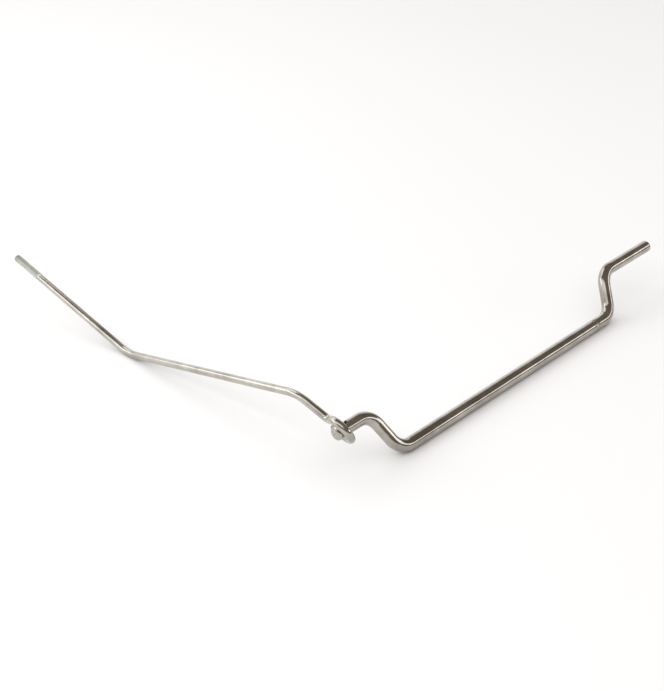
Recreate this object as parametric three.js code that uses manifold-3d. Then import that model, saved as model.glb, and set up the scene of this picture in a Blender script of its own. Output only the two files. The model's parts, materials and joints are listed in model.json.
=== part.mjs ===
// Two bent, plated round bars joined by an eye: a thick crank rod, a slim rod with a threaded end,
// and a slotted stop pin across the crank rod's stub. Millimetres, +Z up.
//
// +X runs along the crank rod's axis from its stub to its shank, and +Y from the joint along the slim rod.
// The object lies as it is put down: the crank's throw and the slim rod's first bend touch the ground plane.
// The origin is the middle of the object's footprint, on the ground plane.

import * as THREE from 'three';
import { mergeVertices } from 'three/addons/utils/BufferGeometryUtils.js';
import Module from 'manifold-3d';

const wasm = await Module();
wasm.setup();

const rad = THREE.MathUtils.degToRad;

// Crank rod: a 10 mm bar bent into a flat crank. Its stub and its shank share one axis.
const CRANK_R = 5;
const CRANK_BEND_R = 16; // centre-line radius of the four bends
const CRANK_LEG_ANGLE = 69; // slope of the two legs against the axis
const CRANK_OFFSET = 34; // from the axis to the throw's centre line
const STUB_LENGTH = 35.5; // stub end to the corner where the first leg starts
const THROW_LENGTH = 264; // corner to corner
const SHANK_LENGTH = 66;
const CRANK_CHAMFER = 1.2;
const HEAD_R = 5.5; // the stub's end is upset a little, which keeps the eye on
const CRANK_ROLL = 55.7; // turn about its own axis that puts the throw on the ground
const CRANK_SIDES = 24;

// Slim rod: a 6 mm bar with an eye round the stub, two bends of one angle, and a rolled thread.
const SLIM_R = 3;
const EYE_BORE_R = 6.7; // roomy on the stub, so the eye leans on it
const EYE_TWIST = 30; // turn of the eye about the rod, out of the plane of the bends
const EYE_SLACK = 0.8; // the eye's middle sits this far off the stub's axis, along the rod
const EYE_STATION = 7.4; // stub end to the middle of the eye
const EYE_TAIL_ANGLE = -31; // where the tail stops, short of the neck
const NECK_BEND_R = 7; // reverse bend that puts the rod in line with the eye's middle
const HEEL_LENGTH = 44; // eye's middle to the second bend's corner
const SPAN_LENGTH = 190; // between the two bends, corner to corner
const FREE_LENGTH = 143.5; // first bend's corner to the threaded end
const SLIM_BEND_ANGLE = 28;
const SLIM_BEND_R = 37;
const SLIM_SIDES = 16;

// Thread on the slim rod's free end: M6-size, rolled, so its crests stand proud of the bar.
const THREAD_LENGTH = 30;
const THREAD_PITCH = 1;
const THREAD_CREST_R = 3.15;
const THREAD_ROOT_R = 2.65;
const THREAD_CHAMFER = 0.8;

// Slotted spring pin across the stub, proud on one side. The leaning eye swings until it meets the pin.
const PIN_STATION = 9.6; // stub end to the pin's axis
const PIN_R = 1.5;
const PIN_BORE_R = 0.85;
const PIN_SLOT = 0.6;
const PIN_LENGTH = 12;
const PIN_PROUD = 2.3;
const PIN_TILT = 15; // lean of the pin from upright, away from the slim rod
const GAP = 0.3; // room round the pin in its hole

const platedSteel = new THREE.MeshStandardMaterial({ color: 0xb9b2a8, roughness: 0.24, metalness: 1 });
const zincSteel = new THREE.MeshStandardMaterial({ color: 0xa9aca0, roughness: 0.34, metalness: 1 });
const springSteel = new THREE.MeshStandardMaterial({ color: 0x55524d, roughness: 0.45, metalness: 1 });

// A walk along a centre line. Each station holds a point, the frame there (heading, left and up) and the
// distance walked. It starts in the XY plane, heading at an angle to +X.
class Walk {
  constructor(x, y, angle) {
    this.point = new THREE.Vector3(x, y, 0);
    this.frame = new THREE.Quaternion().setFromAxisAngle(new THREE.Vector3(0, 0, 1), angle);
    this.distance = 0;
    this.stations = [];
    this.bends = [];
    this.mark();
  }

  direction(x, y, z) {
    return new THREE.Vector3(x, y, z).applyQuaternion(this.frame);
  }

  mark() {
    const left = this.direction(0, 1, 0);
    const up = this.direction(0, 0, 1);
    this.stations.push({ point: this.point.clone(), left, up, distance: this.distance });
  }

  straight(length, steps = 1) {
    for (let i = 0; i < steps; i += 1) {
      this.point.addScaledVector(this.direction(1, 0, 0), length / steps);
      this.distance += length / steps;
      this.mark();
    }
  }

  // Bend towards the left for a positive angle. A twist leans the plane of the bend over about the heading.
  arc(angle, radius, steps, twist = 0) {
    const axis = this.direction(0, -Math.sin(twist), Math.cos(twist));
    const side = this.direction(0, Math.cos(twist), Math.sin(twist));
    const centre = this.point.clone().addScaledVector(side, Math.sign(angle) * radius);
    const turn = new THREE.Quaternion().setFromAxisAngle(axis, angle / steps);
    this.bends.push(centre);
    for (let i = 0; i < steps; i += 1) {
      this.point.sub(centre).applyQuaternion(turn).add(centre);
      this.frame.premultiply(turn);
      this.distance += (radius * Math.abs(angle)) / steps;
      this.mark();
    }
  }
}

// Straight stretch that a bend of this angle and radius takes from each side of its corner.
const tangent = (angle, radius) => radius * Math.tan(Math.abs(angle) / 2);

// Closed bar along a walk: a ring of vertices at each station, and a flat cap on each end.
function sweepBar(stations, radiusAt, sides) {
  const points = [];
  const faces = [];
  stations.forEach(({ point, left, up, distance }) => {
    const r = radiusAt(distance);
    for (let i = 0; i < sides; i += 1) {
      const a = (2 * Math.PI * (i + 0.5)) / sides;
      const corner = point.clone();
      corner.addScaledVector(left, r * Math.cos(a)).addScaledVector(up, r * Math.sin(a));
      points.push(...corner.toArray());
    }
  });
  for (let s = 0; s + 1 < stations.length; s += 1) {
    for (let i = 0; i < sides; i += 1) {
      const a = s * sides + i;
      const b = s * sides + ((i + 1) % sides);
      faces.push(a, b, a + sides, b, b + sides, a + sides);
    }
  }
  const last = (stations.length - 1) * sides;
  for (let i = 1; i + 1 < sides; i += 1) {
    faces.push(0, i + 1, i);
    faces.push(last, last + i, last + i + 1);
  }
  const geometry = new THREE.BufferGeometry();
  geometry.setAttribute('position', new THREE.Float32BufferAttribute(points, 3));
  geometry.setIndex(faces);
  return geometry;
}

// Radius along the crank rod: a chamfered head on the stub's end, and a chamfer on the shank's.
function crankRadiusAt(distance, total) {
  const head = HEAD_R - Math.abs(CRANK_CHAMFER - distance);
  const bar = CRANK_R - Math.max(0, CRANK_CHAMFER - (total - distance));
  return distance < CRANK_CHAMFER ? head : Math.max(head, bar);
}

function toSolid(geometry) {
  const bare = geometry.clone();
  bare.deleteAttribute('normal');
  bare.deleteAttribute('uv');
  const merged = mergeVertices(bare, 1e-5);
  return new wasm.Manifold(new wasm.Mesh({
    numProp: 3,
    vertProperties: new Float32Array(merged.attributes.position.array),
    triVerts: new Uint32Array(merged.index.array),
  }));
}

function toGeometry(solid) {
  const mesh = solid.getMesh();
  const geometry = new THREE.BufferGeometry();
  geometry.setAttribute('position', new THREE.Float32BufferAttribute(mesh.vertProperties, 3));
  geometry.setIndex(Array.from(mesh.triVerts));
  return geometry;
}

function namedMesh(name, geometry, material) {
  geometry.computeVertexNormals();
  const mesh = new THREE.Mesh(geometry, material);
  mesh.name = name;
  return mesh;
}

const eyeR = EYE_BORE_R + SLIM_R; // centre-line radius of the eye
const axisHeight = CRANK_R + CRANK_OFFSET * Math.sin(rad(CRANK_ROLL));

// The pin runs across the bar, through its axis.
function placePin(object) {
  object.position.set(PIN_STATION, 0, 0);
  object.rotation.set(rad(PIN_TILT - CRANK_ROLL), 0, 0);
}

// Crank rod, flat in its own XY plane with the throw on the -Y side.
function crankGeometry() {
  const leg = rad(CRANK_LEG_ANGLE);
  const cut = tangent(leg, CRANK_BEND_R);
  const legLength = CRANK_OFFSET / Math.sin(leg) - 2 * cut;
  const bendSteps = 9;
  const walk = new Walk(0, 0, 0);
  const shoulder = HEAD_R - CRANK_R;
  walk.straight(CRANK_CHAMFER);
  walk.straight(shoulder);
  walk.straight(STUB_LENGTH - CRANK_CHAMFER - shoulder - cut);
  walk.arc(-leg, CRANK_BEND_R, bendSteps);
  walk.straight(legLength);
  walk.arc(leg, CRANK_BEND_R, bendSteps);
  walk.straight(THROW_LENGTH - 2 * cut);
  walk.arc(leg, CRANK_BEND_R, bendSteps);
  walk.straight(legLength);
  walk.arc(-leg, CRANK_BEND_R, bendSteps);
  walk.straight(SHANK_LENGTH - CRANK_CHAMFER - cut);
  walk.straight(CRANK_CHAMFER);
  const bar = sweepBar(walk.stations, (distance) => crankRadiusAt(distance, walk.distance), CRANK_SIDES);
  const drill = new THREE.CylinderGeometry(PIN_R + GAP, PIN_R + GAP, 4 * CRANK_R, 24);
  drill.rotateX(Math.PI / 2);
  const holder = new THREE.Object3D();
  placePin(holder);
  holder.updateMatrix();
  drill.applyMatrix4(holder.matrix);
  return toGeometry(toSolid(bar).subtract(toSolid(drill)));
}

// Slotted tube along Z about the bar's axis, its slot towards +X.
function pinGeometry() {
  const outer = Math.asin(PIN_SLOT / 2 / PIN_R);
  const inner = Math.asin(PIN_SLOT / 2 / PIN_BORE_R);
  const section = new THREE.Shape();
  section.absarc(0, 0, PIN_R, outer, 2 * Math.PI - outer, false);
  section.absarc(0, 0, PIN_BORE_R, 2 * Math.PI - inner, inner, true);
  section.closePath();
  const geometry = new THREE.ExtrudeGeometry(section, {
    depth: PIN_LENGTH, steps: 1, curveSegments: 20, bevelEnabled: false,
  });
  return geometry.translate(0, 0, CRANK_R + PIN_PROUD - PIN_LENGTH);
}

// Slim rod from its tail to its thread. The eye lies in the XY plane about the origin, and the rod leaves it
// along +X. The tail runs clockwise round the eye, and a reverse bend brings the rod into line with its middle.
function slimWalk() {
  const bend = rad(SLIM_BEND_ANGLE);
  const cut = tangent(bend, SLIM_BEND_R);
  const twist = rad(EYE_TWIST);
  const tail = rad(EYE_TAIL_ANGLE);
  const neckAngle = Math.acos(NECK_BEND_R / (eyeR + NECK_BEND_R));
  const neckStation = (eyeR + NECK_BEND_R) * Math.sin(neckAngle);
  const threadSteps = Math.round((2 * (THREAD_LENGTH - THREAD_CHAMFER)) / THREAD_PITCH);
  const walk = new Walk(eyeR * Math.cos(tail), eyeR * Math.sin(tail), tail - Math.PI / 2);
  walk.arc(-neckAngle - 1.5 * Math.PI - tail, eyeR, 32);
  walk.arc(neckAngle, NECK_BEND_R, 7);
  walk.straight(HEEL_LENGTH - neckStation - cut);
  walk.arc(-bend, SLIM_BEND_R, 8, twist);
  walk.straight(SPAN_LENGTH - 2 * cut);
  walk.arc(bend, SLIM_BEND_R, 8, twist);
  walk.straight(FREE_LENGTH - cut - THREAD_LENGTH - THREAD_PITCH / 2);
  walk.straight(THREAD_PITCH / 2);
  walk.straight(THREAD_LENGTH - THREAD_CHAMFER, threadSteps);
  walk.straight(THREAD_CHAMFER);
  return walk;
}

function slimGeometry(walk) {
  const threadStart = walk.distance - THREAD_LENGTH;
  const radiusAt = (distance) => {
    const into = distance - threadStart;
    if (into < -1e-6) return SLIM_R;
    if (into > THREAD_LENGTH - 1e-6) return THREAD_ROOT_R - THREAD_CHAMFER / 2;
    const step = Math.round((2 * into) / THREAD_PITCH);
    return step % 2 ? THREAD_CREST_R : THREAD_ROOT_R;
  };
  return sweepBar(walk.stations, radiusAt, SLIM_SIDES);
}

// Turn about the stub that sets the underside of the rod's last bend on the ground plane.
function restAngle(bend) {
  const reach = Math.hypot(bend.x, bend.y);
  const drop = SLIM_BEND_R + SLIM_R - axisHeight;
  return Math.asin(drop / reach) - Math.atan2(bend.y, bend.x);
}

function buildCrank() {
  const group = new THREE.Group();
  group.position.z = axisHeight;
  group.rotation.x = rad(CRANK_ROLL);
  const pin = namedMesh('stop_pin', pinGeometry(), springSteel);
  placePin(pin);
  group.add(namedMesh('crank_rod', crankGeometry(), platedSteel), pin);
  return group;
}

function buildSlimRod() {
  const walk = slimWalk();
  const rod = namedMesh('slim_rod', slimGeometry(walk), zincSteel);
  rod.position.x = EYE_SLACK;
  rod.rotation.x = -rad(EYE_TWIST);
  rod.updateMatrix();
  const group = new THREE.Group();
  const lastBend = walk.bends.at(-1).clone().applyMatrix4(rod.matrix);
  group.position.set(EYE_STATION, 0, axisHeight);
  group.rotation.set(0, Math.PI / 2, Math.PI / 2 + restAngle(lastBend));
  group.add(rod);
  return group;
}

const object = new THREE.Group();
object.add(buildCrank(), buildSlimRod());
object.updateMatrixWorld(true);
const box = new THREE.Box3().setFromObject(object, true);
const middle = box.getCenter(new THREE.Vector3());
object.position.set(-middle.x, -middle.y, -box.min.z);

export default object;
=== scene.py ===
"""Looks for the cranked bar and its steady rod: plated round bars, a rolled thread, a bent eye and a pin."""

import json
import math

import bmesh
import bpy
import numpy as np
from mathutils import Matrix, Quaternion, Vector


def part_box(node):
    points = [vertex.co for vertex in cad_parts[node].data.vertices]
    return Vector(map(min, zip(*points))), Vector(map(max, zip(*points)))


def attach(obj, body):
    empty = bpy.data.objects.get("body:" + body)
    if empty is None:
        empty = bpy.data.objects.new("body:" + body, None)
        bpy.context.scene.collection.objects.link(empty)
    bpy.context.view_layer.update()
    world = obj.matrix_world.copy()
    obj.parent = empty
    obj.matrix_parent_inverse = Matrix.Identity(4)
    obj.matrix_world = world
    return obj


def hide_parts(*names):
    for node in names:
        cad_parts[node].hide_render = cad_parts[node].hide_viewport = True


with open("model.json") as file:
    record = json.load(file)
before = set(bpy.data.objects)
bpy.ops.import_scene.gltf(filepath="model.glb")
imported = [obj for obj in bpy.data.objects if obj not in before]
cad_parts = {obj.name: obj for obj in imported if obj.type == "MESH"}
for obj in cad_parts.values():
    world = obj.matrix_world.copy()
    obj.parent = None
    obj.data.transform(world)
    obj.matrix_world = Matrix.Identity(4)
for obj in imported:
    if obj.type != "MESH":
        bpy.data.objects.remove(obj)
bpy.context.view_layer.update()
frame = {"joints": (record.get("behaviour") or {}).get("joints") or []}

MM = 0.001
FULL_TURN = 2 * math.pi
rad = math.radians

# The two bars, as the CAD model has them, in millimetres and degrees.
CRANK_R = 5.0
CRANK_BEND_R = 16.0
CRANK_LEG_ANGLE = 69.0
CRANK_OFFSET = 34.0
STUB_LENGTH = 35.5
THROW_LENGTH = 264.0
SHANK_LENGTH = 66.0
CRANK_ROLL = 55.7
SLIM_R = 3.0
EYE_R = 9.7
EYE_TWIST = 30.0
EYE_SLACK = 0.8
EYE_TAIL_ANGLE = -31.0
NECK_BEND_R = 7.0
HEEL_LENGTH = 44.0
SPAN_LENGTH = 190.0
FREE_LENGTH = 143.5
SLIM_BEND_ANGLE = 28.0
SLIM_BEND_R = 37.0

# The rolled thread.
THREAD_LENGTH = 30.0
THREAD_PITCH = 1.0
THREAD_CREST_R = 3.13
THREAD_ROOT_R = 2.6
THREAD_ROOT_SHARE = 0.12  # share of the way from root to crest that is flat root
THREAD_FLANK_SHARE = 0.70  # share of it that rises, and the rest is flat crest
THREAD_RUNOUT = 1.6
THREAD_LEAD = 1.5
THREAD_LEAD_DROP = 0.35  # how far below the root the lead starts

# The slotted spring pin and its countersunk cross hole.
PIN_STATION = 9.6
PIN_R = 1.5
PIN_BORE_R = 0.85
PIN_SLOT = 0.6
PIN_LENGTH = 12.0
PIN_PROUD = 2.3
PIN_TILT = 15.0
PIN_LEAD = ((0.0, 0.34), (0.12, 0.26), (0.7, 0.0))  # depth from each end, and how much slimmer the pin is
PIN_OUTER_POINTS = 56
PIN_INNER_POINTS = 40
HOLE_ROOM = 0.06
HOLE_SIDES = 48
HOLE_REACH = 7.0
COUNTERSINK = 2.4
COUNTERSINK_BOTTOM = 4.55  # from the bar's axis

# The punched mark by the third bend: a ring with two dots. A punch has a depth and a half width.
MARK_ANGLE = rad(66.0)
MARK_BACK = 12.0
MARK_REACH = 4.0
MARK_RING_R = 2.9
MARK_RING_PUNCH = (0.30, 0.42)
MARK_DOT_SIDE = 1.0
MARK_DOT_PUNCH = (0.36, 0.6)

# Bending leaves a slight flat inside each bend of the thick bar, and makes the slim bar a little slimmer.
CRANK_BEND_FLAT = 0.10
SLIM_BEND_LOSS = 0.05
BEND_FADE = 0.6

# The stub's end is upset into a small domed head with a centre mark. Each ring has a depth and a radius.
HEAD = [
    (1.0, 0.02),
    (0.1, 0.8),
    (0.0, 1.0),
    (0.09, 1.8),
    (0.32, 2.8),
    (0.6, 3.6),
    (0.98, 4.35),
    (1.4, 4.92),
    (1.76, 5.22),
    (2.05, 5.33),
    (2.3, 5.28),
    (2.5, 5.13),
    (2.75, 5.0),
]

# How finely the bars are made. The stretch with the mark and the thread have the closest rings.
CRANK_SIDES = 96
SLIM_SIDES = 64
PLAIN_STEP = 3.0
STUB_STEP = 1.0
MARK_STEP = 0.2
MARK_LENGTH = 20.0
THREAD_STEP = THREAD_PITCH / 10
BEND_STEP = 2.5  # degrees
BAR_SHARP = rad(32)  # an edge that turns this much or more stays crisp
PIN_SHARP = rad(28)

# The faces this near a bar's end are its sawn end, and the thread's finish starts this far into it.
END_REACH = 0.05
THREAD_FINISH_START = 0.2

hinge = Vector(frame["joints"][0]["pos_m"])
stub_end = Vector((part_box("crank_rod")[0].x, hinge.y, hinge.z))


# ---------------------------------------------------------------- centre lines


class Walk:
    """A centre line in millimetres. Each station has a point, the ways left and up across the line, and the
    distance walked. Each bend has its centre, and the distances at which it starts and ends."""

    def __init__(self, x, y, angle):
        self.point = Vector((x, y, 0))
        self.turn = Quaternion((0, 0, 1), angle)
        self.distance = 0.0
        self.stations = []
        self.bends = []
        self.mark()

    def direction(self, x, y, z):
        return self.turn @ Vector((x, y, z))

    def mark(self):
        left, up = self.direction(0, 1, 0), self.direction(0, 0, 1)
        self.stations.append((self.point.copy(), left, up, self.distance))

    def straight(self, length, step=PLAIN_STEP):
        steps = max(1, round(length / step))
        for _ in range(steps):
            self.point += self.direction(1, 0, 0) * (length / steps)
            self.distance += length / steps
            self.mark()

    def arc(self, angle, radius, twist=0.0):
        """A bend, to the left for a positive angle. The twist leans its plane over about the heading."""
        axis = self.direction(0, -math.sin(twist), math.cos(twist))
        side = self.direction(0, math.cos(twist), math.sin(twist))
        centre = self.point + side * math.copysign(radius, angle)
        steps = max(4, round(abs(math.degrees(angle)) / BEND_STEP))
        turn = Quaternion(axis, angle / steps)
        self.bends.append((centre, self.distance, self.distance + radius * abs(angle)))
        for _ in range(steps):
            self.point = centre + turn @ (self.point - centre)
            self.turn = turn @ self.turn
            self.distance += radius * abs(angle) / steps
            self.mark()


def tangent(angle, radius):
    """How far from its corner a bend starts and ends."""
    return radius * math.tan(abs(angle) / 2)


def crank_walk():
    """From the stub's end to the shank's end."""
    leg = rad(CRANK_LEG_ANGLE)
    cut = tangent(leg, CRANK_BEND_R)
    leg_length = CRANK_OFFSET / math.sin(leg) - 2 * cut
    walk = Walk(0, 0, 0)
    walk.straight(STUB_LENGTH - cut, STUB_STEP)
    walk.arc(-leg, CRANK_BEND_R)
    walk.straight(leg_length)
    walk.arc(leg, CRANK_BEND_R)
    walk.straight(THROW_LENGTH - 2 * cut - MARK_LENGTH)
    walk.straight(MARK_LENGTH, MARK_STEP)
    walk.arc(leg, CRANK_BEND_R)
    walk.straight(leg_length)
    walk.arc(-leg, CRANK_BEND_R)
    walk.straight(SHANK_LENGTH - cut)
    return walk


def slim_walk():
    """From the eye's tail round the eye, through the neck and both bends, to the threaded end."""
    bend = rad(SLIM_BEND_ANGLE)
    cut = tangent(bend, SLIM_BEND_R)
    twist = rad(EYE_TWIST)
    tail = rad(EYE_TAIL_ANGLE)
    neck = math.acos(NECK_BEND_R / (EYE_R + NECK_BEND_R))
    neck_station = (EYE_R + NECK_BEND_R) * math.sin(neck)
    walk = Walk(EYE_R * math.cos(tail), EYE_R * math.sin(tail), tail - math.pi / 2)
    walk.arc(-neck - 1.5 * math.pi - tail, EYE_R)
    walk.arc(neck, NECK_BEND_R)
    walk.straight(HEEL_LENGTH - neck_station - cut)
    walk.arc(-bend, SLIM_BEND_R, twist)
    walk.straight(SPAN_LENGTH - 2 * cut)
    walk.arc(bend, SLIM_BEND_R, twist)
    walk.straight(FREE_LENGTH - cut - THREAD_LENGTH)
    walk.straight(THREAD_LENGTH, THREAD_STEP)
    return walk


# ---------------------------------------------------------------- meshes


def ring_grid(walk, sides, radius_at, start, end):
    """Rings of points along a walk. radius_at gives a radius for each angle, and start and end list the
    depths and radii of the rings that close the bar."""
    angles = FULL_TURN * np.arange(sides) / sides
    first, last = walk.stations[0], walk.stations[-1]
    rows, along = [], []

    def add(station, offset, radii):
        point, left, up, distance = station
        middle = np.array(point + left.cross(up) * offset)
        spread = np.outer(np.cos(angles) * radii, left) + np.outer(np.sin(angles) * radii, up)
        rows.append(middle + spread)
        along.append(distance + offset)

    for depth, radius in start:
        add(first, depth, np.full(sides, radius))
    for station in walk.stations:
        if start[-1][0] < station[3] < walk.distance - end[-1][0]:
            add(station, 0.0, radius_at(station[3], angles))
    for depth, radius in reversed(end):
        add(last, -depth, np.full(sides, radius))
    return np.array(rows), np.array(along), angles


def tube_faces(count, sides):
    """Quads between each ring of points and the next."""
    faces = []
    for ring in range(count - 1):
        for side in range(sides):
            a, b = ring * sides + side, ring * sides + (side + 1) % sides
            faces.append((a, b, b + sides, a + sides))
    return faces


def finish_mesh(mesh, sharp):
    """Turns the faces outwards and shades them smooth, with the sharp edges left crisp."""
    work = bmesh.new()
    work.from_mesh(mesh)
    bmesh.ops.recalc_face_normals(work, faces=work.faces)
    for face in work.faces:
        face.smooth = True
    for edge in work.edges:
        edge.smooth = len(edge.link_faces) == 2 and edge.calc_face_angle(0) < sharp
    work.to_mesh(mesh)
    work.free()


def skin(name, points, faces, lay, place, sharp):
    """A mesh in metres. It keeps each point's lay, its place round and along the bar, for the material."""
    mesh = bpy.data.meshes.new(name)
    mesh.from_pydata([place @ Vector(p) * MM for p in points], [], faces)
    attribute = mesh.attributes.new("lay", "FLOAT_VECTOR", "POINT")
    attribute.data.foreach_set("vector", np.array(lay, np.float32).ravel())
    finish_mesh(mesh, sharp)
    return mesh


def bar_mesh(name, rows, along, angles, place):
    """A closed skin over rings of points."""
    count, sides = rows.shape[:2]
    faces = tube_faces(count, sides)
    faces.append(tuple(reversed(range(sides))))
    faces.append(tuple((count - 1) * sides + side for side in range(sides)))
    lay = np.stack(
        [
            np.tile(np.cos(angles), count),
            np.tile(np.sin(angles), count),
            np.repeat(along, sides),
        ],
        axis=1,
    )
    return skin(name, rows.reshape(-1, 3), faces, lay, place, BAR_SHARP)


def lathe_mesh(name, profile, sides, place):
    """A closed turned solid about Z from (radius, height) pairs."""
    angles = FULL_TURN * np.arange(sides) / sides
    rows = [np.stack([r * np.cos(angles), r * np.sin(angles), np.full(sides, z)], 1) for r, z in profile]
    along = np.array([z for _, z in profile])
    return bar_mesh(name, np.array(rows), along, angles, place)


def drilled(mesh, cutter):
    """The mesh with the cutter's shape taken out of it."""
    target = bpy.data.objects.new("target", mesh)
    tool = bpy.data.objects.new("tool", cutter)
    for helper in (target, tool):
        bpy.context.scene.collection.objects.link(helper)
    cut = target.modifiers.new("cut", "BOOLEAN")
    cut.operation = "DIFFERENCE"
    cut.solver = "EXACT"
    cut.object = tool
    bpy.context.view_layer.update()
    result = bpy.data.meshes.new_from_object(target.evaluated_get(bpy.context.evaluated_depsgraph_get()))
    for helper in (target, tool):
        bpy.data.objects.remove(helper)
    return result


def rounded_end(radius, chamfer, mark):
    """Rings from the middle of a sawn end out to the bar: a centre mark, the flat, and a chamfer with soft
    edges. Each has a depth and a radius."""
    soft = chamfer * 0.18
    flat = radius - chamfer
    return [
        (mark * 0.9, 0.02),
        (mark * 0.15, mark * 0.75),
        (0.0, mark),
        (0.0, flat - soft),
        (soft * 0.3, flat),
        (soft, flat + soft * 0.7),
        (chamfer - soft, radius - soft * 0.9),
        (chamfer, radius - soft * 0.25),
        (chamfer + soft, radius),
    ]


def bend_share(distance, start, end):
    """Rises from 0 at a bend's start to 1 in its middle, and falls to 0 at its end."""
    return math.sin(math.pi * (distance - start) / (end - start)) ** BEND_FADE


def punched(far, punch):
    """How deep a punch leaves the surface at this distance from its middle."""
    depth, half_width = punch
    return depth * np.exp(-((far / half_width) ** 2))


def paint_ends(mesh, walk, end_finish, thread_finish=None):
    """Gives the sawn ends, and the thread if there is one, their own finish."""
    lay = mesh.attributes["lay"].data
    thread_start = walk.distance - THREAD_LENGTH + THREAD_FINISH_START
    for face in mesh.polygons:
        along = [lay[v].vector[2] for v in face.vertices]
        if max(along) < END_REACH or min(along) > walk.distance - END_REACH:
            face.material_index = end_finish
        elif thread_finish is not None and min(along) > thread_start:
            face.material_index = thread_finish


def show(name, mesh, body, slot, *materials):
    piece = bpy.data.objects.new(name, mesh)
    bpy.context.scene.collection.objects.link(piece)
    for material in materials:
        mesh.materials.append(material)
    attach(piece, body)
    return piece


# ---------------------------------------------------------------- materials

# Drawn lines are fine round the bar and long along it. The other scales are in features to the metre.
DRAWN_SCALE = (26.0, 26.0, 0.045)
DRAWN_RANGE = (0.35, 0.65)
DRAWN_STRENGTH = 2.2
DRAWN_DEPTH = 0.00008
TARNISH_SCALE = 55.0
TARNISH_ROUGHNESS = 0.62
TARNISH_TONES = (0.36, 0.66)
TARNISH_WEAR = (0.3, 0.7)
SPECK_SCALE = 420.0
SPECK_EDGE = (0.10, 0.04)
SPECK_TINT = (0.5, 0.47, 0.42)
PIT_SCALE = 1400.0
PIT_DEPTH = 0.00006


def nodes_of(name):
    material = bpy.data.materials.new(name)
    material.use_nodes = True
    tree = material.node_tree
    tree.nodes.clear()
    output = tree.nodes.new("ShaderNodeOutputMaterial")
    shader = tree.nodes.new("ShaderNodeBsdfPrincipled")
    tree.links.new(shader.outputs["BSDF"], output.inputs["Surface"])
    return material, tree, shader


def noise(tree, place, scale, detail, roughness=0.5):
    node = tree.nodes.new("ShaderNodeTexNoise")
    node.inputs["Scale"].default_value = scale
    node.inputs["Detail"].default_value = detail
    node.inputs["Roughness"].default_value = roughness
    tree.links.new(place, node.inputs["Vector"])
    return node.outputs["Fac"]


def map_range(tree, value, source, target=(0.0, 1.0)):
    node = tree.nodes.new("ShaderNodeMapRange")
    node.inputs["From Min"].default_value = source[0]
    node.inputs["From Max"].default_value = source[1]
    node.inputs["To Min"].default_value = target[0]
    node.inputs["To Max"].default_value = target[1]
    tree.links.new(value, node.inputs["Value"])
    return node.outputs["Result"]


def mix(tree, factor):
    """A colour mix node, with its A and B left to the caller."""
    node = tree.nodes.new("ShaderNodeMix")
    node.data_type = "RGBA"
    tree.links.new(factor, node.inputs["Factor"])
    return node


def bump(tree, height, strength, distance):
    node = tree.nodes.new("ShaderNodeBump")
    node.inputs["Strength"].default_value = strength
    node.inputs["Distance"].default_value = distance
    tree.links.new(height, node.inputs["Height"])
    return node


def plated(name, dark, light, rough, metallic=1.0, draw=0.05, pits=0.04, grime=0.25):
    """Plated steel: lines drawn along the bar, soft tarnish, dark specks and small pits. The roughness
    varies with the tarnish and the lines."""
    material, tree, shader = nodes_of(name)
    new, link = tree.nodes.new, tree.links.new

    lay = new("ShaderNodeAttribute")
    lay.attribute_name = "lay"
    lines_at = new("ShaderNodeMapping")
    lines_at.inputs["Scale"].default_value = DRAWN_SCALE
    link(lay.outputs["Vector"], lines_at.inputs["Vector"])
    lines = noise(tree, lines_at.outputs["Vector"], 1.0, detail=5.0)

    place = new("ShaderNodeTexCoord").outputs["Object"]
    tarnish = noise(tree, place, TARNISH_SCALE, detail=6.0, roughness=TARNISH_ROUGHNESS)
    pitting = noise(tree, place, PIT_SCALE, detail=3.0)
    specks = new("ShaderNodeTexVoronoi")
    specks.inputs["Scale"].default_value = SPECK_SCALE
    specks.inputs["Randomness"].default_value = 1.0
    link(place, specks.inputs["Vector"])

    tone = new("ShaderNodeValToRGB")
    for stop, position, colour in zip(tone.color_ramp.elements, TARNISH_TONES, (dark, light)):
        stop.position = position
        stop.color = (*colour, 1)
    link(tarnish, tone.inputs["Fac"])
    amount = new("ShaderNodeMath")
    amount.operation = "MULTIPLY"
    amount.inputs[1].default_value = grime
    link(map_range(tree, specks.outputs["Distance"], SPECK_EDGE), amount.inputs[0])
    spots = mix(tree, amount.outputs["Value"])
    link(tone.outputs["Color"], spots.inputs["A"])
    spots.inputs["B"].default_value = (*(value * tint for value, tint in zip(dark, SPECK_TINT)), 1)
    link(spots.outputs["Result"], shader.inputs["Base Color"])

    uneven = new("ShaderNodeMath")
    uneven.operation = "ADD"
    uneven.use_clamp = True
    link(map_range(tree, tarnish, TARNISH_WEAR, rough), uneven.inputs[0])
    link(map_range(tree, lines, DRAWN_RANGE, (-draw, draw)), uneven.inputs[1])
    link(uneven.outputs["Value"], shader.inputs["Roughness"])

    grain = bump(tree, pitting, pits, PIT_DEPTH)
    drawn = bump(tree, lines, draw * DRAWN_STRENGTH, DRAWN_DEPTH)
    link(grain.outputs["Normal"], drawn.inputs["Normal"])
    link(drawn.outputs["Normal"], shader.inputs["Normal"])
    shader.inputs["Metallic"].default_value = metallic
    return material


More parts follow.
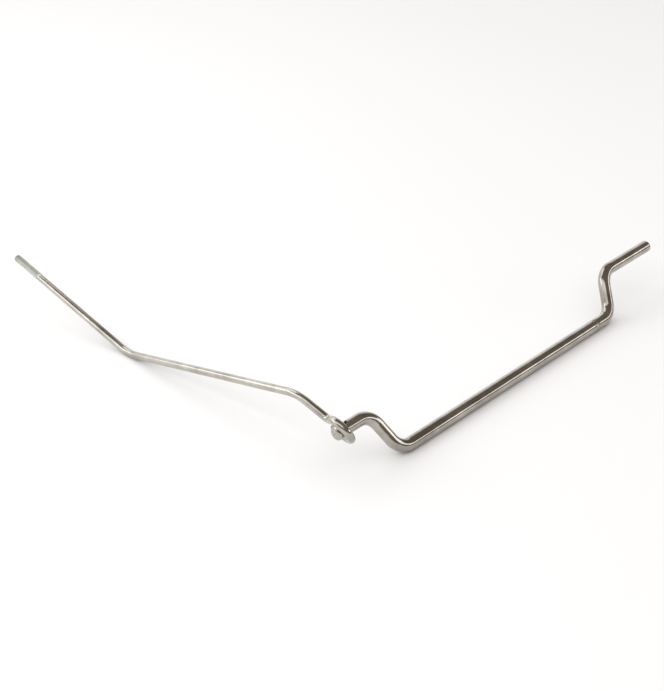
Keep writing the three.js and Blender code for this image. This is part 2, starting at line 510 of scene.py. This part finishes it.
bar_steel = plated("bar_plating", (0.32, 0.30, 0.265), (0.50, 0.475, 0.43), (0.09, 0.18))
rod_steel = plated("rod_plating", (0.38, 0.365, 0.325), (0.56, 0.54, 0.49), (0.12, 0.22))
thread_zinc = plated(
    "thread_zinc",
    (0.56, 0.58, 0.54),
    (0.76, 0.78, 0.73),
    (0.34, 0.50),
    metallic=0.8,
    draw=0.03,
    pits=0.3,
    grime=0.4,
)
end_steel = plated(
    "sawn_end",
    (0.26, 0.24, 0.21),
    (0.46, 0.44, 0.40),
    (0.28, 0.42),
    draw=0.04,
    pits=0.5,
    grime=0.4,
)
pin_steel = plated(
    "pin_steel",
    (0.10, 0.095, 0.085),
    (0.22, 0.21, 0.19),
    (0.26, 0.40),
    draw=0.04,
    pits=0.3,
    grime=0.3,
)

# ---------------------------------------------------------------- crank rod and its pin

crank_place = Matrix.Translation(stub_end / MM) @ Matrix.Rotation(rad(CRANK_ROLL), 4, "X")
pin_place = (
    crank_place
    @ Matrix.Translation((PIN_STATION, 0, 0))
    @ Matrix.Rotation(rad(PIN_TILT - CRANK_ROLL), 4, "X")
)


def crank_radius(walk):
    """The bar's radius, with a slight flat inside each bend and a punched mark by the third bend."""
    mark = walk.bends[2][1] - MARK_BACK

    def radius_at(distance, angles):
        radii = np.full(angles.shape, CRANK_R)
        for number, (_, start, end) in enumerate(walk.bends):
            if start < distance < end:
                inner = 0.0 if number in (1, 2) else math.pi
                flat = CRANK_BEND_FLAT * bend_share(distance, start, end)
                radii -= flat * np.maximum(0, np.cos(angles - inner)) ** 4
        if abs(distance - mark) < MARK_REACH:
            across = ((angles - MARK_ANGLE + math.pi) % FULL_TURN - math.pi) * CRANK_R
            radii -= punched(np.hypot(distance - mark, across) - MARK_RING_R, MARK_RING_PUNCH)
            for side in (-MARK_DOT_SIDE, MARK_DOT_SIDE):
                radii -= punched(np.hypot(distance - mark, across - side), MARK_DOT_PUNCH)
        return radii

    return radius_at


def pin_drill():
    """What is drilled out for the pin: a cross hole, countersunk on both sides."""
    hole_r = PIN_R + HOLE_ROOM
    wide_r = hole_r + COUNTERSINK
    profile = [
        (wide_r, -HOLE_REACH),
        (hole_r, -COUNTERSINK_BOTTOM),
        (hole_r, COUNTERSINK_BOTTOM),
        (wide_r, HOLE_REACH),
    ]
    return lathe_mesh("drill", profile, HOLE_SIDES, pin_place)


def crank_bar():
    line = crank_walk()
    shank_end = rounded_end(CRANK_R, chamfer=1.4, mark=0.6)
    rows, along, angles = ring_grid(line, CRANK_SIDES, crank_radius(line), HEAD, shank_end)
    mesh = drilled(bar_mesh("crank_bar", rows, along, angles, crank_place), pin_drill())
    crank = show("crank_bar", mesh, "crank", "plated_bar", bar_steel, end_steel)
    finish_mesh(mesh, BAR_SHARP)
    paint_ends(mesh, line, end_finish=1)
    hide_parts("crank_rod")


def pin_mesh():
    """A rolled spring pin: a slotted tube with a tapered lead at each end, its slot towards the shank."""
    outer_gap = math.asin(PIN_SLOT / 2 / PIN_R)
    inner_gap = math.asin(PIN_SLOT / 2 / PIN_BORE_R)
    outer = np.linspace(outer_gap, FULL_TURN - outer_gap, PIN_OUTER_POINTS)
    inner = np.linspace(FULL_TURN - inner_gap, inner_gap, PIN_INNER_POINTS)
    section = PIN_OUTER_POINTS + PIN_INNER_POINTS
    top = CRANK_R + PIN_PROUD
    bottom = top - PIN_LENGTH
    cuts = [(bottom + depth, taper) for depth, taper in PIN_LEAD]
    cuts += [(top - depth, taper) for depth, taper in reversed(PIN_LEAD)]
    points, lay = [], []
    for height, taper in cuts:
        points += [((PIN_R - taper) * math.cos(a), (PIN_R - taper) * math.sin(a), height) for a in outer]
        points += [(PIN_BORE_R * math.cos(a), PIN_BORE_R * math.sin(a), height) for a in inner]
        lay += [(math.cos(a), math.sin(a), height) for a in [*outer, *inner]]

    def across(i):
        """The inner point that faces an outer one."""
        return section - 1 - round(i * (PIN_INNER_POINTS - 1) / (PIN_OUTER_POINTS - 1))

    faces = tube_faces(len(cuts), section)
    for base in (0, (len(cuts) - 1) * section):
        for i in range(PIN_OUTER_POINTS - 1):
            face = [base + i, base + i + 1, base + across(i + 1), base + across(i)]
            faces.append(tuple(dict.fromkeys(face)))
    return skin("spring_pin", points, faces, lay, pin_place, PIN_SHARP)


def spring_pin():
    pin = show("spring_pin", pin_mesh(), "crank", "spring_steel", pin_steel)
    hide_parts("stop_pin")


# ---------------------------------------------------------------- slim rod


def slim_place(walk):
    """Where the slim rod lies: its eye leans on the stub, and its last bend rests on the floor."""
    lean = Matrix.Translation((EYE_SLACK, 0, 0)) @ Matrix.Rotation(-rad(EYE_TWIST), 4, "X")
    last_bend = lean @ walk.bends[-1][0]
    drop = SLIM_BEND_R + SLIM_R - hinge.z / MM
    rest = math.asin(drop / math.hypot(last_bend.x, last_bend.y)) - math.atan2(last_bend.y, last_bend.x)
    return (
        Matrix.Translation(hinge / MM)
        @ Matrix.Rotation(math.pi / 2, 4, "Y")
        @ Matrix.Rotation(math.pi / 2 + rest, 4, "Z")
        @ lean
    )


def thread_radii(into, angles):
    """The radii of a helical rolled thread, this far into it."""
    phase = (into / THREAD_PITCH - angles / FULL_TURN) % 1.0
    ridge = 1 - np.abs(2 * phase - 1)
    ridge = np.clip((ridge - THREAD_ROOT_SHARE) / THREAD_FLANK_SHARE, 0, 1)
    ridge = ridge * ridge * (3 - 2 * ridge)
    return THREAD_ROOT_R + (THREAD_CREST_R - THREAD_ROOT_R) * ridge


def slim_radius(walk):
    """The rod's radius: a little less in its two long bends, and a thread that runs out into the bar."""
    thread_start = walk.distance - THREAD_LENGTH
    lead_r = THREAD_ROOT_R - THREAD_LEAD_DROP

    def radius_at(distance, angles):
        radii = np.full(angles.shape, SLIM_R)
        for _, start, end in walk.bends[2:]:
            if start < distance < end:
                radii -= SLIM_BEND_LOSS * bend_share(distance, start, end)
        into = distance - thread_start
        if into > 0:
            fade = min(1.0, into / THREAD_RUNOUT)
            lead = min(1.0, (walk.distance - distance) / THREAD_LEAD)
            radii = radii + (thread_radii(into, angles) - radii) * fade
            radii = np.minimum(radii, lead_r + (THREAD_CREST_R - lead_r) * lead)
        return radii

    return radius_at


def steady_bar():
    line = slim_walk()
    tail_end = rounded_end(SLIM_R, chamfer=0.35, mark=0.4)
    thread_end = rounded_end(SLIM_R - 0.75, chamfer=0.35, mark=0.4)
    rows, along, angles = ring_grid(line, SLIM_SIDES, slim_radius(line), tail_end, thread_end)
    mesh = bar_mesh("steady_bar", rows, along, angles, slim_place(line))
    slim = show("steady_bar", mesh, "steady_rod", "plated_rod", rod_steel, thread_zinc, end_steel)
    paint_ends(mesh, line, end_finish=2, thread_finish=1)
    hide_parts("slim_rod")


crank_bar()
spring_pin()
steady_bar()

# ---------------------------------------------------------------- floor, light and camera

FLOOR_HALF = 6.0
FLOOR_COLOUR = (0.86, 0.868, 0.88, 1)

CAMERA_HEADING = rad(47.2)
CAMERA_DROP = rad(30.74)
CAMERA_DISTANCE = 1.2449
CAMERA_AIM = Vector((0.12836, 0.12135, 0.0))  # from the place on the floor below the stub's end
CAMERA_LENS = 80.9
CAMERA_SENSOR = 36.0

ROOM_LIGHT_POWER = 1.7
ROOM_LIGHT_SPREAD = rad(110)
ROOM_DARK = (0.23, 0.195, 0.168, 1)
PAPER = (0.9, 0.9, 0.9, 1)

# How bright the backdrop is at each height, as the sine of the angle above the horizon.
BACKDROP_LIGHT = 1.25
BACKDROP_STOPS = ((0.44, BACKDROP_LIGHT), (0.55, 0.6))
BACKDROP_TOP = 0.64
BACKDROP_SIDES = (0.1, 0.5)  # where it fades in, from the rest of the room

right = Vector((math.cos(CAMERA_HEADING), -math.sin(CAMERA_HEADING), 0))
away = Vector((math.sin(CAMERA_HEADING), math.cos(CAMERA_HEADING), 0))
up = Vector((0, 0, 1))
aim = Vector((stub_end.x, stub_end.y, 0)) + CAMERA_AIM


def studio_floor():
    mesh = bpy.data.meshes.new("studio_floor")
    half = FLOOR_HALF
    corners = [(-half, -half, 0), (half, -half, 0), (half, half, 0), (-half, half, 0)]
    mesh.from_pydata(corners, [], [(0, 1, 2, 3)])
    material, _, shader = nodes_of("studio_floor")
    shader.inputs["Base Color"].default_value = FLOOR_COLOUR
    shader.inputs["Roughness"].default_value = 0.9
    shader.inputs["Specular IOR Level"].default_value = 0.1
    mesh.materials.append(material)
    floor = bpy.data.objects.new("studio_floor", mesh)
    bpy.context.scene.collection.objects.link(floor)


def studio_camera():
    look = away * math.cos(CAMERA_DROP) - up * math.sin(CAMERA_DROP)
    data = bpy.data.cameras.new("studio_camera")
    data.lens = CAMERA_LENS
    data.sensor_width = CAMERA_SENSOR
    camera = bpy.data.objects.new("studio_camera", data)
    bpy.context.scene.collection.objects.link(camera)
    turn = Matrix((right, right.cross(look), -look)).transposed()
    camera.matrix_world = Matrix.Translation(aim - look * CAMERA_DISTANCE) @ turn.to_4x4()
    bpy.context.scene.camera = camera


def softbox(name, side, back, height, size, power):
    """A rectangular light that faces the object. side is to the camera's right, and back is away from it."""
    data = bpy.data.lights.new(name, "AREA")
    data.shape = "RECTANGLE"
    data.size, data.size_y = size
    data.energy = power
    lamp = bpy.data.objects.new(name, data)
    bpy.context.scene.collection.objects.link(lamp)
    lamp.location = aim + right * side + away * back + up * height
    lamp.rotation_euler = (aim - lamp.location).to_track_quat("-Z", "Y").to_euler()


def room_light():
    """Even light from above, for the floor and for soft shadows. It doesn't show in reflections."""
    data = bpy.data.lights.new("room_light", "SUN")
    data.energy = ROOM_LIGHT_POWER
    data.angle = ROOM_LIGHT_SPREAD
    lamp = bpy.data.objects.new("room_light", data)
    bpy.context.scene.collection.objects.link(lamp)
    lamp.visible_glossy = False


def studio_world():
    """A room with a bright backdrop at the back and left. In reflections the rest is dark, and seen past the
    floor it is plain pale paper."""
    world = bpy.data.worlds.new("studio_world")
    bpy.context.scene.world = world
    world.use_nodes = True
    tree = world.node_tree
    tree.nodes.clear()
    new, link = tree.nodes.new, tree.links.new

    way = new("ShaderNodeTexCoord").outputs["Generated"]
    height = new("ShaderNodeSeparateXYZ")
    link(way, height.inputs["Vector"])
    ramp = new("ShaderNodeValToRGB")
    low, high = ramp.color_ramp.elements
    low.position = 0.0
    low.color = (BACKDROP_LIGHT, BACKDROP_LIGHT, BACKDROP_LIGHT, 1)
    high.position = BACKDROP_TOP
    high.color = ROOM_DARK
    for position, value in BACKDROP_STOPS:
        stop = ramp.color_ramp.elements.new(position)
        stop.color = (value, value, value, 1)
    link(height.outputs["Z"], ramp.inputs["Fac"])

    facing = new("ShaderNodeVectorMath")
    facing.operation = "DOT_PRODUCT"
    facing.inputs[1].default_value = (away - right).normalized()
    link(way, facing.inputs[0])
    room = mix(tree, map_range(tree, facing.outputs["Value"], BACKDROP_SIDES))
    room.inputs["A"].default_value = ROOM_DARK
    link(ramp.outputs["Color"], room.inputs["B"])
    seen = mix(tree, new("ShaderNodeLightPath").outputs["Is Camera Ray"])
    link(room.outputs["Result"], seen.inputs["A"])
    seen.inputs["B"].default_value = PAPER

    background = new("ShaderNodeBackground")
    link(seen.outputs["Result"], background.inputs["Color"])
    output = new("ShaderNodeOutputWorld")
    link(background.outputs["Background"], output.inputs["Surface"])


studio_floor()
studio_camera()
softbox("softbox_right", side=1.35, back=0.05, height=0.40, size=(1.0, 0.2), power=1.5)
softbox("softbox_front", side=-0.45, back=-0.75, height=0.98, size=(1.5, 0.75), power=4.2)
softbox("softbox_left", side=-1.15, back=0.0, height=0.66, size=(0.9, 0.5), power=2.3)
softbox("softbox_back", side=-0.60, back=0.65, height=1.0, size=(0.9, 0.6), power=2.6)
room_light()
studio_world()
bpy.context.scene.view_settings.view_transform = "Standard"
